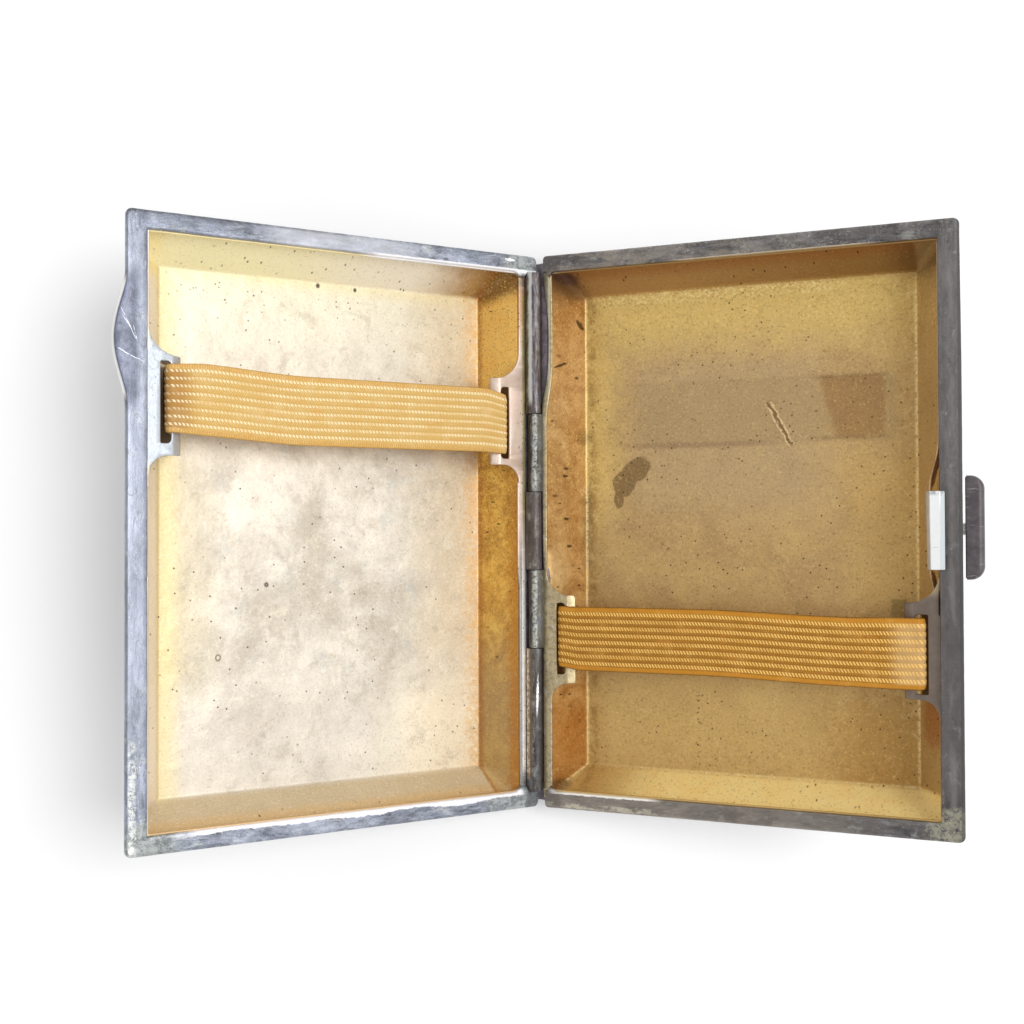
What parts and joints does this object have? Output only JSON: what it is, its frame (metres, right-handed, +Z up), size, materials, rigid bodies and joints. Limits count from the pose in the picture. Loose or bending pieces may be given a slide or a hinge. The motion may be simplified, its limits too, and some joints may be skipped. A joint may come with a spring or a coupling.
{
  "type": "cigarette case",
  "caption": "Flat square-cornered metal cigarette case standing open on its spine, with elastic straps in plate loops, a knuckled hinge and a sprung thumb catch.",
  "frame": {"origin": "middle of the bounding box in plan, at the height that the open case stands on", "axes": "+X from the lid (left, with the thumb lip) to the base (right, with the catch), +Y along the hinge, +Z up, away from what the case stands on"},
  "size_m": [0.1142, 0.083, 0.0335],
  "materials": {
    "gilt_base": "satin gilding inside, darker ochre with stains; worn silver outside",
    "gilt_lid": "pale satin gilding inside, speckled; worn silver outside",
    "silver": "dull tarnished silver with fine scratches",
    "pale_silver": "satin silver with a warm cast",
    "polished_silver": "rubbed bright",
    "spring_brass": "dull",
    "steel": "dull wire",
    "elastic": "ribbed woven elastic, gold-tan, edges browner",
    "thread": "matte"
  },
  "bodies": {
    "base": {"base_shell": "gilt_base", "base_rim": "silver", "base_bezel": "pale_silver", "base_hinge_bearer": "silver", "base_knuckle_upper": "silver", "base_knuckle_lower": "silver", "base_strap": "elastic", "base_strap_stitching": "thread", "catch_spring": "spring_brass"},
    "lid": {"lid_shell": "gilt_lid", "lid_rim": "silver", "lid_bezel": "pale_silver", "lid_hinge_bearer": "silver", "lid_knuckle_top": "silver", "lid_knuckle_middle": "silver", "lid_knuckle_bottom": "silver", "lid_strap": "elastic", "lid_strap_stitching": "thread", "hinge_pin": "steel", "pin_plug_top": "silver", "pin_plug_bottom": "silver"},
    "catch": {"thumb_piece": "silver", "catch_stem": "steel", "catch_tongue": "polished_silver"}
  },
  "joints": [
    {"name": "lid_hinge", "type": "hinge", "parent": "base", "child": "lid", "pos_m": [-0.0009, 0, 0.0051], "axis": [0, 1, 0], "range_deg": [0, 126]},
    {"name": "catch_press", "type": "slide", "parent": "base", "child": "catch", "axis": [-0.891, 0, -0.454], "range_m": [0, 0.0008], "stiffness_N_per_m": 600, "springref_m": -0.0015, "deforming": ["catch_spring"]}
  ]
}
